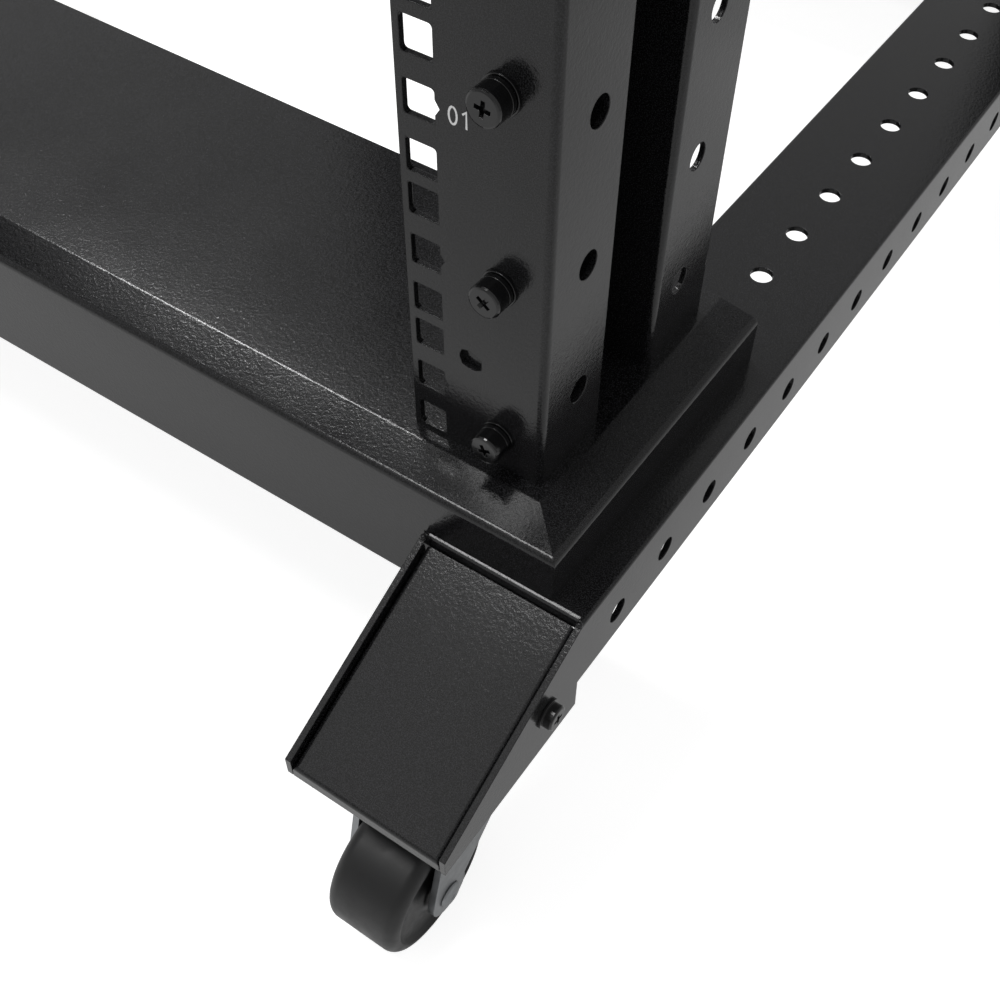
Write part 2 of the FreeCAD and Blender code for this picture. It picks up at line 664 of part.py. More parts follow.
def make_caster_bracket(side_name, side, side_sign, end_name, end, end_sign):
    """Channel between the nose walls that carries the caster plate."""
    body = new_body("caster_bracket_%s_%s" % (end_name, side_name))
    view = new_sketch(body, "BracketEnd", "XZ_Plane", "0 - ( " + end + " ) * ( hem_back - cover_fit )")
    low = side + " * ( rail_inner + rail_wall )"
    low_in = side + " * ( rail_inner + rail_wall + bracket_sheet )"
    high = side + " * ( rail_outer - rail_wall )"
    high_in = side + " * ( rail_outer - rail_wall - bracket_sheet )"
    add_outline(view, (
        (low, "nose_foot"),
        (high, "nose_foot"),
        (high, "nose_foot + bracket_flange"),
        (high_in, "nose_foot + bracket_flange"),
        (high_in, "bracket_top"),
        (low_in, "bracket_top"),
        (low_in, "nose_foot + bracket_flange"),
        (low, "nose_foot + bracket_flange"),
    ))
    add_pad(body, "BracketSheet", view, "bracket_length", reverse=(end_sign < 0))
    # The flanges follow the lower edge of the flanges of the cover.
    slope = new_sketch(body, "FlangeSlope", "YZ_Plane", side + " * rail_middle")
    add_outline(slope, (
        (end + " * hem_back", "bracket_top"),
        (end + " * hem_back", "bracket_top + 2 * bracket_flange"),
        (end + " * ( hem_back - bracket_length )", "bracket_top + 2 * bracket_flange"),
        (end + " * ( hem_back - bracket_length )", "bracket_top + flange_slope * bracket_length"),
    ))
    add_pocket(body, "FlangeSlopeCut", slope, "2 * rail_width", middle=True)


def make_caster_plate(side_name, side, side_sign, end_name, end, end_sign):
    """Square plate with the swivel race and the king pin."""
    body = new_body("caster_plate_%s_%s" % (end_name, side_name))
    centre_x = side + " * rail_middle"
    centre_y = end + " * caster_place"
    plate = new_sketch(body, "PlateOutline", "XY_Plane", "caster_level")
    half = "caster_plate_width / 2"
    add_outline(plate, rectangle(centre_x + " - " + half, centre_x + " + " + half,
                                 centre_y + " - " + half, centre_y + " + " + half))
    add_pad(body, "Plate", plate, "caster_plate_sheet")
    race = new_sketch(body, "RaceOutline", "XY_Plane", "caster_level")
    add_circle(race, centre_x, centre_y, "race_width")
    add_pad(body, "Race", race, "race_height", reverse=True)
    pin = new_sketch(body, "PinOutline", "XY_Plane", "race_level")
    add_circle(pin, centre_x, centre_y, "king_pin")
    add_pad(body, "KingPin", pin, "2 * swivel_gap + fork_sheet", reverse=True)


def make_fork(side_name, side, side_sign, end_name, end, end_sign):
    """Pressed fork: a crown under the race and two legs that lean out to the axle."""
    body = new_body("caster_fork_%s_%s" % (end_name, side_name))
    view = new_sketch(body, "LegOutline", "YZ_Plane", side + " * rail_middle")
    place = "caster_place"
    axle = "( caster_place + wheel_offset )"
    add_outline(view, (
        (end + " * ( " + place + " - race_width / 2 )", "crown_level"),
        (end + " * ( " + place + " + race_width / 2 )", "crown_level"),
        (end + " * ( " + axle + " + leg_round )", "axle_level + wheel_diameter / 4"),
        (end + " * ( " + axle + " + leg_round )", "axle_level - leg_round / 2"),
        (end + " * ( " + axle + " + leg_round / 2 )", "axle_level - leg_round"),
        (end + " * ( " + axle + " - leg_round / 2 )", "axle_level - leg_round"),
        (end + " * ( " + axle + " - leg_round )", "axle_level - leg_round / 2"),
        (end + " * ( " + place + " - race_width / 2 )", "crown_level - 4 * fork_sheet"),
    ))
    add_pad(body, "LegBlock", view, "2 * fork_outer", middle=True)
    slot = new_sketch(body, "WheelSlot", "XZ_Plane", "0 - ( " + end + " ) * " + place)
    middle = side + " * rail_middle"
    add_outline(slot, rectangle(middle + " - fork_inner", middle + " + fork_inner",
                                "0 - wheel_diameter", "crown_level - fork_sheet"))
    add_pocket(body, "WheelSlotCut", slot, "6 * wheel_diameter", middle=True)
    pin = new_sketch(body, "PinHole", "XY_Plane", "crown_level")
    add_circle(pin, middle, end + " * " + place, "king_pin + 2 * pin_gap")
    add_pocket(body, "PinHoleCut", pin, "4 * fork_sheet", middle=True)
    bore = new_sketch(body, "AxleHole", "YZ_Plane", middle)
    add_hexagon(bore, end + " * " + axle, "axle_level", "axle_diameter")
    add_pocket(body, "AxleHoleCut", bore, "4 * fork_outer", middle=True)


def make_axle(side_name, side, side_sign, end_name, end, end_sign):
    """Axle rod through both legs of the fork."""
    body = new_body("caster_axle_%s_%s" % (end_name, side_name))
    shaft = new_sketch(body, "Shaft", "YZ_Plane", side + " * rail_middle")
    add_circle(shaft, end + " * ( caster_place + wheel_offset )", "axle_level", "axle_diameter")
    add_pad(body, "ShaftRod", shaft, "2 * fork_outer + 2 * axle_end", middle=True)


def make_wheel(side_name, side, side_sign, end_name, end, end_sign):
    """Solid wheel with bevelled shoulders and a bore for the axle."""
    body = new_body("caster_wheel_%s_%s" % (end_name, side_name))
    middle = side + " * rail_middle"
    axle = end + " * ( caster_place + wheel_offset )"
    tread = new_sketch(body, "Tread", "YZ_Plane", middle)
    add_circle(tread, axle, "axle_level", "wheel_diameter")
    add_pad(body, "TreadDisc", tread, "wheel_width", middle=True)
    rims = ["Edge%d" % i for i, edge in enumerate(body.Shape.Edges, start=1) if edge.BoundBox.XLength < 0.01]
    dress_edges(body, "Chamfer", "Shoulders", rims, "Size", "wheel_shoulder")
    bore = new_sketch(body, "Bore", "YZ_Plane", middle)
    add_circle(bore, axle, "axle_level", "axle_diameter + 2 * pin_gap")
    add_pocket(body, "BoreCut", bore, "2 * wheel_width", middle=True)


for side_name, side, side_sign in SIDES:
    for end_name, end, end_sign in ENDS:
        corner = (side_name, side, side_sign, end_name, end, end_sign)
        make_rack_angle(*corner)
        make_column(*corner)
        make_nose_cover(*corner)
        make_caster_bracket(*corner)
        make_caster_plate(*corner)
        make_fork(*corner)
        make_axle(*corner)
        make_wheel(*corner)
    make_base_rail(side_name, side, side_sign)
    make_top_rail(side_name, side, side_sign)

for end_name, end, end_sign in ENDS:
    make_pan("base_pan_" + end_name, end, "base_height", "1")
    make_pan("top_pan_" + end_name, end, "top_level", "-1")

doc.recompute()
for item in doc.Objects:
    if "Invalid" in item.State or "Error" in item.State:
        raise RuntimeError("failed: " + item.Name + " " + str(item.State))
for body in sub_parts:
    if body.Shape.isNull() or not body.Shape.isValid():
        raise RuntimeError("bad shape: " + body.Label)
    if len(body.Shape.Solids) != 1:
        raise RuntimeError("not one solid: " + body.Label)

os.makedirs("parts", exist_ok=True)
for body in sub_parts:
    body.Shape.exportStep(os.path.join("parts", body.Label + ".step"))
print(len(sub_parts), "parts written")
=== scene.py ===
import math

import bmesh
import bpy
from bpy.props import FloatProperty, FloatVectorProperty, IntProperty, PointerProperty
from mathutils import Matrix, Vector


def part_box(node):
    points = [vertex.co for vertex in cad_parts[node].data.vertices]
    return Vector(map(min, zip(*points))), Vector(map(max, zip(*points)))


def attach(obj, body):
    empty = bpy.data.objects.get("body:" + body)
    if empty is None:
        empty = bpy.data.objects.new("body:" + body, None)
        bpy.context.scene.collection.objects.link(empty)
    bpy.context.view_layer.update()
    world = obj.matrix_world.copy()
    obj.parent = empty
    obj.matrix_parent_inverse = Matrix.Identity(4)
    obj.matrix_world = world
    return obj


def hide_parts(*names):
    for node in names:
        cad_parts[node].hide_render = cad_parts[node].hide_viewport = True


bl_info = {
    "name": "Open frame rack dressing",
    "version": (1, 0, 0),
    "blender": (4, 5, 0),
    "location": "3D View > Sidebar > Rack",
    "description": "Finishes and small hardware of a four post open frame rack on casters",
    "category": "Object",
}

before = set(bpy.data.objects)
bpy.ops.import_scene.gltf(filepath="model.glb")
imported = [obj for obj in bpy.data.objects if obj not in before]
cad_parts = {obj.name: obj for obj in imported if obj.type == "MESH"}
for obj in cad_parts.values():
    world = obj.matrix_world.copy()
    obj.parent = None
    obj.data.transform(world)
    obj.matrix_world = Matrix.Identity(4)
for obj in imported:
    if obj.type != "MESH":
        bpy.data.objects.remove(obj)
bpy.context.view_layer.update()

SIDES = (("left", -1), ("right", 1))
ENDS = (("front", -1), ("rear", 1))
CORNERS = [(end + "_" + side, sx, sy) for side, sx in SIDES for end, sy in ENDS]

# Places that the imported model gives, in metres.
ANGLE_LOW, ANGLE_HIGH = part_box("rack_angle_front_right")
RAIL_LOW, RAIL_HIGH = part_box("base_rail_right")
COVER_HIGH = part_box("nose_cover_front_right")[1]
PLATE_LOW, PLATE_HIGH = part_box("caster_plate_front_right")
FORK_LOW, FORK_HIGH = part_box("caster_fork_front_right")
AXLE_LOW, AXLE_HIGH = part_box("caster_axle_front_right")
WHEEL_LOW, WHEEL_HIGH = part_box("caster_wheel_front_right")
POST_SIDE = ANGLE_HIGH[0]
POST_FACE = -ANGLE_LOW[1]
POST_FOOT = ANGLE_LOW[2]
POST_TOP = ANGLE_HIGH[2]
RAIL_MIDDLE = (RAIL_LOW[0] + RAIL_HIGH[0]) / 2
RAIL_TOP = RAIL_HIGH[2]
NOSE_END = -RAIL_LOW[1]
AXLE_AWAY = -(AXLE_LOW[1] + AXLE_HIGH[1]) / 2
AXLE_LEVEL = (AXLE_LOW[2] + AXLE_HIGH[2]) / 2
SWIVEL_AWAY = -(PLATE_LOW[1] + PLATE_HIGH[1]) / 2

RACK_UNIT = 0.04445
POST_WALL = 0.0018
RAIL_WALL = 0.002
MM = 0.001

# Sides of the round forms.
SMALL_STEPS = 28
ROUND_STEPS = 32
WHEEL_STEPS = 88

FLOOR_HALF = 14.0


def linear(code):
    """Linear colour of an sRGB hex value such as '2a2b2c'."""
    out = []
    for i in (0, 2, 4):
        c = int(code[i:i + 2], 16) / 255
        out.append(c / 12.92 if c <= 0.04045 else ((c + 0.055) / 1.055) ** 2.4)
    return (*out, 1.0)


def length(name, description, default):
    return FloatProperty(name=name, description=description, default=default, unit="LENGTH", precision=5)


def colour(name, description, code):
    return FloatVectorProperty(name=name, description=description, default=linear(code), size=4,
                               min=0.0, max=1.0, subtype="COLOR")


class RackSizes(bpy.types.PropertyGroup):
    screw_inset: length("Screw inset", "Clamp screw in from the outer side of the post", 0.0147)
    screw_foot: length("Lowest screw", "Lowest clamp screw above the foot of the post", 0.0125)
    screw_count: IntProperty(name="Clamp screws", description="Clamp screws on each post", default=16)
    screw_head: length("Screw head", "Diameter of the clamp screw head", 0.0096)
    washer: length("Washer", "Outer diameter of the flat washer", 0.0106)
    digit_height: length("Digit height", "Height of a unit number", 0.0045)
    number_width: length("Number width", "Width of a number of two digits", 0.0058)
    digit_stroke: length("Digit stroke", "Width of the stroke of a digit", 0.00055)
    ink_film: length("Ink film", "Thickness of the printed ink", 0.00003)
    digit_inset: length("Digit inset", "Middle of a unit number in from the outer side of the post", 0.0264)
    digit_drop: length("Digit level", "Unit number above the foot of its unit", 0.0222)
    first_unit: IntProperty(name="Units under 01", default=2,
                            description="Rack units below the one numbered 01")
    last_unit: IntProperty(name="Numbered units", default=15,
                           description="How many rack units carry a number")
    square_hole: length("Square hole", "Width and height of a square hole", 0.0093)
    square_soft: length("Square hole corner", "Corner radius of a square hole", 0.0011)
    square_inset: length("Square holes", "Square holes in from the outer side of the post", 0.0379)
    square_low: length("Lowest square hole", "Lowest square hole above the foot of the post", 0.00635)
    square_step: length("Square hole step", "Square hole to square hole inside a unit", 0.015875)
    collar_bore: length("Collar bore", "Clear diameter of a rolled hole edge", 0.0084)
    collar_rim: length("Collar rim", "Outer diameter of a rolled hole edge", 0.0103)
    collar_proud: length("Collar height", "Rolled hole edge proud of the sheet", 0.00001)
    lip_hole_low: length("Lowest lip hole", "Lowest lip hole above the foot of the post", 0.0248)
    angle_hole_back: length("Angle hole", "Lip hole of the angle behind the post face", 0.018)
    column_hole_back: length("Column hole", "Lip hole of the column behind the post face", 0.075)
    rail_pitch: length("Rail pitch", "Rail hole to rail hole", 0.0289)
    rail_hole_drop: length("Rail side holes", "Side hole under the top of the rail", 0.0178)
    rail_plain_ends: IntProperty(name="Plain end stations", default=4,
                                 description="Hole stations at each end of a rail with no top hole")
    fork_sheet: length("Fork sheet", "Thickness of the pressed fork", 0.0025)
    bead: length("Corner bead", "Diameter of the weld bead at a corner of the nose", 0.0022)
    bolt_back: length("Nose bolt place", "Nose bolt behind the tip of the nose", 0.0505)
    bolt_level: length("Nose bolt level", "Nose bolt above the foot of the nose", 0.0185)


class RackColours(bpy.types.PropertyGroup):
    powder: colour("Powder coat", "Colour of the powder coat", "090909")
    # Light specks of the powder, partly real and partly painted glints for the sparkle of the coat.
    speck_and_glint: colour("Powder coat specks", "Colour of the light specks in the powder coat", "2c2c2e")
    zinc: colour("Zinc plate", "Colour of the plated caster parts", "8c8e90")
    tread: colour("Wheel", "Colour of the moulded wheel", "0c0c0d")
    oxide: colour("Black zinc", "Colour of the screws and washers", "0c0c0d")
    ink: colour("Ink", "Colour of the unit numbers", "f0f0f0")
    floor: colour("Floor", "Colour of the floor", "c6c6c6")


def add_node(tree, kind, settings=None, links=None, values=None):
    """Add a node, set its settings and socket values, and link its inputs."""
    node = tree.nodes.new(kind)
    for key, value in (settings or {}).items():
        setattr(node, key, value)
    for key, value in (values or {}).items():
        node.inputs[key].default_value = value
    for key, socket in (links or {}).items():
        tree.links.new(socket, node.inputs[key])
    return node


def new_material(name):
    material = bpy.data.materials.new(name)
    material.use_nodes = True
    tree = material.node_tree
    tree.nodes.clear()
    return material, tree


def powder_coat(name, tint, speck_and_glint):
    """Polyester powder baked on sheet steel: glossy black with a fine orange peel."""
    material, tree = new_material(name)
    place = add_node(tree, "ShaderNodeTexCoord").outputs["Object"]
    # Peel of the cured powder, 1.1 mm from crest to crest: breaks up the lights at the bends.
    peel = add_node(tree, "ShaderNodeTexNoise", values={"Scale": 900.0, "Detail": 2.0, "Roughness": 0.5},
                    links={"Vector": place})
    # Grain of the powder, 0.35 mm: gives the flats their fine speckle, as bump and as lighter specks
    # painted into the colour.
    grain = add_node(tree, "ShaderNodeTexNoise", values={"Scale": 2900.0, "Detail": 1.0, "Roughness": 0.5},
                     links={"Vector": place})
    # Slow drift of the film thickness over about 40 mm.
    drift = add_node(tree, "ShaderNodeTexNoise", values={"Scale": 25.0, "Detail": 3.0, "Roughness": 0.55},
                     links={"Vector": place})
    rough = add_node(tree, "ShaderNodeMapRange",
                     values={"From Min": 0.3, "From Max": 0.7, "To Min": 0.13, "To Max": 0.17},
                     links={"Value": drift.outputs["Fac"]})
    # The coat flows round every edge of the sheet with a radius of about 0.4 mm.
    edge = add_node(tree, "ShaderNodeBevel", settings={"samples": 4}, values={"Radius": 0.0004})
    peel_bump = add_node(tree, "ShaderNodeBump", values={"Strength": 1.0, "Distance": 0.00005},
                         links={"Height": peel.outputs["Fac"], "Normal": edge.outputs["Normal"]})
    grain_bump = add_node(tree, "ShaderNodeBump", values={"Strength": 1.0, "Distance": 0.00002},
                          links={"Height": grain.outputs["Fac"], "Normal": peel_bump.outputs["Normal"]})
    # The grain also shows as lighter specks in the colour: partly the coat's own specks, partly painted
    # glints that stand in for the sparkle of the coat under the lamps.
    specks_and_glints = add_node(tree, "ShaderNodeMapRange", values={"From Min": 0.4, "From Max": 0.75, "To Max": 1.0},
                      links={"Value": grain.outputs["Fac"]})
    shade = add_node(tree, "ShaderNodeMixRGB", values={"Color1": tint, "Color2": speck_and_glint},
                     links={"Fac": specks_and_glints.outputs["Result"]})
    shader = add_node(tree, "ShaderNodeBsdfPrincipled", values={"Metallic": 0.0, "IOR": 1.4},
                      links={"Roughness": rough.outputs["Result"], "Normal": grain_bump.outputs["Normal"],
                             "Base Color": shade.outputs["Color"]})
    add_node(tree, "ShaderNodeOutputMaterial", links={"Surface": shader.outputs["BSDF"]})
    return material


def zinc_plate(name, tint):
    """Bright zinc on pressed steel: soft grey metal with a faint crystal mottle."""
    material, tree = new_material(name)
    place = add_node(tree, "ShaderNodeTexCoord").outputs["Object"]
    # Crystals of the plating, about 4 mm across.
    mottle = add_node(tree, "ShaderNodeTexNoise", values={"Scale": 240.0, "Detail": 4.0, "Roughness": 0.6},
                      links={"Vector": place})
    rough = add_node(tree, "ShaderNodeMapRange",
                     values={"From Min": 0.3, "From Max": 0.7, "To Min": 0.28, "To Max": 0.42},
                     links={"Value": mottle.outputs["Fac"]})
    edge = add_node(tree, "ShaderNodeBevel", settings={"samples": 6}, values={"Radius": 0.0004})
    shader = add_node(tree, "ShaderNodeBsdfPrincipled", values={"Base Color": tint, "Metallic": 1.0},
                      links={"Roughness": rough.outputs["Result"], "Normal": edge.outputs["Normal"]})
    add_node(tree, "ShaderNodeOutputMaterial", links={"Surface": shader.outputs["BSDF"]})
    return material


def moulded_wheel(name, tint):
    """Moulded nylon wheel: dull black, scuffed along the tread."""
    material, tree = new_material(name)
    place = add_node(tree, "ShaderNodeTexCoord").outputs["Object"]
    # Scuffs from rolling, about 5 mm long.
    scuff = add_node(tree, "ShaderNodeTexNoise", values={"Scale": 200.0, "Detail": 5.0, "Roughness": 0.65},
                     links={"Vector": place})
    rough = add_node(tree, "ShaderNodeMapRange",
                     values={"From Min": 0.3, "From Max": 0.7, "To Min": 0.36, "To Max": 0.5},
                     links={"Value": scuff.outputs["Fac"]})
    bump = add_node(tree, "ShaderNodeBump", values={"Strength": 0.25, "Distance": 0.0001},
                    links={"Height": scuff.outputs["Fac"]})
    shader = add_node(tree, "ShaderNodeBsdfPrincipled",
                      values={"Base Color": tint, "Metallic": 0.0, "IOR": 1.5},
                      links={"Roughness": rough.outputs["Result"], "Normal": bump.outputs["Normal"]})
    add_node(tree, "ShaderNodeOutputMaterial", links={"Surface": shader.outputs["BSDF"]})
    return material


def black_zinc(name, tint):
    """Black zinc on the screws: smooth and glossier than the powder coat."""
    material, tree = new_material(name)
    place = add_node(tree, "ShaderNodeTexCoord").outputs["Object"]
    # Handling marks, about 1.5 mm across.
    patch = add_node(tree, "ShaderNodeTexNoise", values={"Scale": 650.0, "Detail": 2.0},
                     links={"Vector": place})
    rough = add_node(tree, "ShaderNodeMapRange",
                     values={"From Min": 0.3, "From Max": 0.7, "To Min": 0.1, "To Max": 0.18},
                     links={"Value": patch.outputs["Fac"]})
    edge = add_node(tree, "ShaderNodeBevel", settings={"samples": 6}, values={"Radius": 0.00015})
    shader = add_node(tree, "ShaderNodeBsdfPrincipled",
                      values={"Base Color": tint, "Metallic": 0.0, "IOR": 1.5},
                      links={"Roughness": rough.outputs["Result"], "Normal": edge.outputs["Normal"]})
    add_node(tree, "ShaderNodeOutputMaterial", links={"Surface": shader.outputs["BSDF"]})
    return material


def printed_ink(name, tint):
    """Pad printed ink: flat white with a slightly uneven film."""
    material, tree = new_material(name)
    place = add_node(tree, "ShaderNodeTexCoord").outputs["Object"]
    # Film grain of the print, 0.4 mm.
    grain = add_node(tree, "ShaderNodeTexNoise", values={"Scale": 2500.0, "Detail": 2.0},
                     links={"Vector": place})
    rough = add_node(tree, "ShaderNodeMapRange", values={"To Min": 0.4, "To Max": 0.6},
                     links={"Value": grain.outputs["Fac"]})
    shader = add_node(tree, "ShaderNodeBsdfPrincipled", values={"Base Color": tint},
                      links={"Roughness": rough.outputs["Result"]})
    add_node(tree, "ShaderNodeOutputMaterial", links={"Surface": shader.outputs["BSDF"]})
    return material


def finish_of(name):
    """One shared material for each finish, made the first time it is asked for."""
    if name in bpy.data.materials:
        return bpy.data.materials[name]
    colours = bpy.context.scene.rack_colours
    makers = {
        "powder_coated_steel": (powder_coat, colours.powder, colours.speck_and_glint),
        "zinc_plated_steel": (zinc_plate, colours.zinc),
        "moulded_nylon": (moulded_wheel, colours.tread),
        "black_zinc_steel": (black_zinc, colours.oxide),
        "printed_ink": (printed_ink, colours.ink),
    }
    maker, *tints = makers[name]
    return maker(name, *(tuple(tint) for tint in tints))


def new_piece(name, shape, body, finish):
    """Turn a bmesh into a piece that rides on a body."""
    mesh = bpy.data.meshes.new(name)
    shape.to_mesh(mesh)
    shape.free()
    piece = bpy.data.objects.new(name, mesh)
    bpy.context.scene.collection.objects.link(piece)
    piece.data.materials.append(finish_of(finish))
    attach(piece, body)
    return piece


def add_copy(shape, source, place):
    """Add a copy of a source mesh to a bmesh at a place."""
    before = set(shape.verts)
    shape.from_mesh(source)
    bmesh.ops.transform(shape, matrix=place, verts=[v for v in shape.verts if v not in before])


def to_mesh(shape, name):
    """Source mesh of a bmesh, its doubles merged and its faces turned outwards."""
    bmesh.ops.remove_doubles(shape, verts=shape.verts, dist=1e-6)
    bmesh.ops.recalc_face_normals(shape, faces=shape.faces)
    mesh = bpy.data.meshes.new(name)
    shape.to_mesh(mesh)
    shape.free()
    return mesh


def verts_of(geometry):
    return [g for g in geometry if isinstance(g, bmesh.types.BMVert)]


def arc(x, y, rx, ry, start, stop, steps=9):
    """Points of an arc about (x, y), its angles in degrees."""
    turns = [math.radians(start + (stop - start) * i / steps) for i in range(steps + 1)]
    return [(x + rx * math.cos(t), y + ry * math.sin(t)) for t in turns]


def lathe(shape, outline, steps):
    """Spin a half outline of (radius, height) about Z."""
    verts = [shape.verts.new((r, 0, z)) for r, z in outline]
    edges = [shape.edges.new((a, b)) for a, b in zip(verts, verts[1:])]
    bmesh.ops.spin(shape, geom=verts + edges, cent=(0, 0, 0), axis=(0, 0, 1), angle=2 * math.pi,
                   steps=steps, use_merge=True, use_duplicate=False)


def facing(direction, sx, sy):
    """Turn a shape that stands on Z so that it points out of an end or a side of the rack."""
    if direction == "end":
        return Matrix.Rotation(sy * -math.pi / 2, 4, "X")
    return Matrix.Rotation(sx * math.pi / 2, 4, "Y")


class RACK_OT_sheet_finish(bpy.types.Operator):
    """Give every sheet metal node, caster part and wheel its finish"""
    bl_idname = "rack.sheet_finish"
    bl_label = "Finishes of the frame"

    def execute(self, context):
        for name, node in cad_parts.items():
            finish = "powder_coated_steel"
            if name.startswith(("caster_fork", "caster_plate", "caster_axle")):
                finish = "zinc_plated_steel"
            if name.startswith("caster_wheel"):
                finish = "moulded_nylon"
            for slot in node.material_slots:
                slot.material = finish_of(finish)
        return {"FINISHED"}


def add_screw_head(shape, radius, low, high, chamfer, slot_width, slot_length, slot_depth):
    """Round screw head with a chamfered rim and a cross recess."""
    foot = bmesh.ops.create_circle(shape, cap_ends=False, segments=ROUND_STEPS, radius=radius)["verts"]
    bmesh.ops.translate(shape, vec=(0, 0, low), verts=foot)
    edges = list({e for v in foot for e in v.link_edges})
    for grow, level in ((1.0, high - chamfer), (1 - 0.3 * chamfer / radius, high - 0.3 * chamfer),
                        (1 - chamfer / radius, high)):
        grown = bmesh.ops.extrude_edge_only(shape, edges=edges)["geom"]
        verts = verts_of(grown)
        edges = [g for g in grown if isinstance(g, bmesh.types.BMEdge)]
        for v in verts:
            flat = Vector((v.co.x, v.co.y, 0)).normalized() * radius * grow
            v.co = (flat.x, flat.y, level)
    # The recess is a plus of five squares: its mouth lies in the face, and its floor is smaller.
    half = slot_width / 2
    tip = slot_length / 2
    plus = [(half, half), (half, tip), (-half, tip), (-half, half), (-tip, half), (-tip, -half),
            (-half, -half), (-half, -tip), (half, -tip), (half, -half), (tip, -half), (tip, half)]
    mouth = [shape.verts.new((x, y, high)) for x, y in plus]
    ring = [shape.edges.new((a, b)) for a, b in zip(mouth, mouth[1:] + mouth[:1])]
    bmesh.ops.triangle_fill(shape, edges=edges + ring, use_beauty=True, normal=(0, 0, 1))
    grown = bmesh.ops.extrude_edge_only(shape, edges=ring)["geom"]
    floor = verts_of(grown)
    floor_ring = [g for g in grown if isinstance(g, bmesh.types.BMEdge)]
    bmesh.ops.scale(shape, vec=(0.7, 0.7, 1), verts=floor)
    bmesh.ops.translate(shape, vec=(0, 0, -slot_depth), verts=floor)
    bmesh.ops.contextual_create(shape, geom=floor_ring)


def clamp_screw(sizes):
    """Round headed cross recess screw on a spring washer and a flat washer, standing on Z = 0."""
    shape = bmesh.new()
    rim = sizes.washer / 2
    shank = 3.2 * MM
    ring = 4.85 * MM
    head_low = 2.8 * MM
    edge = 0.1 * MM
    lathe(shape, ((0, 0), (rim - edge, 0), (rim, edge), (rim, 0.9 * MM), (rim - edge, 1.0 * MM),
                  (shank, 1.0 * MM)), ROUND_STEPS)
    lathe(shape, ((shank, 1.2 * MM), (ring - edge, 1.2 * MM), (ring, 1.3 * MM), (ring, 2.5 * MM),
                  (ring - edge, 2.6 * MM), (shank, 2.6 * MM)), ROUND_STEPS)
    lathe(shape, ((shank, head_low), (sizes.screw_head / 2, head_low)), ROUND_STEPS)
    add_screw_head(shape, sizes.screw_head / 2, head_low, high=7.5 * MM, chamfer=0.7 * MM,
                   slot_width=1.2 * MM, slot_length=4.4 * MM, slot_depth=1.4 * MM)
    return to_mesh(shape, "clamp_screw")


class RACK_OT_clamp_screws(bpy.types.Operator):
    """Add the column of clamp screws to each post"""
    bl_idname = "rack.clamp_screws"
    bl_label = "Clamp screws"

    def execute(self, context):
        sizes = context.scene.rack_sizes
        pitch = (POST_TOP - POST_FOOT - 2 * sizes.screw_foot) / (sizes.screw_count - 1)
        source = clamp_screw(sizes)
        for corner, sx, sy in CORNERS:
            shape = bmesh.new()
            for i in range(sizes.screw_count):
                # Each screw came to rest at its own angle.
                turn = Matrix.Rotation(math.radians(29 * i + 24), 4, "Z")
                spot = Matrix.Translation((sx * (POST_SIDE - sizes.screw_inset), sy * POST_FACE,
                                           POST_FOOT + sizes.screw_foot + i * pitch))
                add_copy(shape, source, spot @ facing("end", sx, sy) @ turn)
            new_piece("clamp_screws_" + corner, shape, "rack", "black_zinc_steel")
        bpy.data.meshes.remove(source)
        return {"FINISHED"}


def rolled_edge(sizes, wall):
    """Coated edge of a round hole: a bore through the sheet with a thin flush rim on both faces."""
    shape = bmesh.new()
    bore = sizes.collar_bore / 2
    rim = sizes.collar_rim / 2
    proud = sizes.collar_proud
    roll = 0.15 * MM
    bulge = 0.3 * roll
    front = [(bore, -roll), (bore + bulge, -bulge), (bore + roll, proud), (rim, 0)]
    back = [(rim, -wall), (bore + roll, -wall - proud), (bore + bulge, bulge - wall), (bore, roll - wall)]
    lathe(shape, back + front, SMALL_STEPS)
    return to_mesh(shape, "rolled_edge")


def square_corners(sizes):
    """The four rounded corners of one square hole, as fillets that reach back through the sheet."""
    shape = bmesh.new()
    half = sizes.square_hole / 2
    soft = sizes.square_soft
    middle = half - soft
    for turn in range(4):
        outline = [(half, half)] + arc(middle, middle, soft, soft, 90, 0, 5)
        rim = [shape.verts.new((x, y, 0)) for x, y in reversed(outline)]
        face = shape.faces.new(rim)
        grown = bmesh.ops.extrude_face_region(shape, geom=[face])["geom"]
        back = verts_of(grown)
        bmesh.ops.translate(shape, vec=(0, 0, -POST_WALL), verts=back)
        bmesh.ops.rotate(shape, verts=rim + back, cent=(0, 0, 0),
                         matrix=Matrix.Rotation(math.pi / 2 * turn, 3, "Z"))
    return to_mesh(shape, "square_corners")


class RACK_OT_square_corners(bpy.types.Operator):
    """Round the corners of the square holes"""
    bl_idname = "rack.square_corners"
    bl_label = "Corners of the square holes"

    def execute(self, context):
        sizes = context.scene.rack_sizes
        source = square_corners(sizes)
        units = round((POST_TOP - POST_FOOT) / RACK_UNIT)
        for corner, sx, sy in CORNERS:
            shape = bmesh.new()
            for i in range(3 * units):
                level = i // 3 * RACK_UNIT + sizes.square_low + i % 3 * sizes.square_step
                spot = Matrix.Translation((sx * (POST_SIDE - sizes.square_inset), sy * POST_FACE,
                                           POST_FOOT + level))
                add_copy(shape, source, spot @ facing("end", sx, sy))
            new_piece("square_hole_corners_" + corner, shape, "rack", "powder_coated_steel")
        bpy.data.meshes.remove(source)
        return {"FINISHED"}


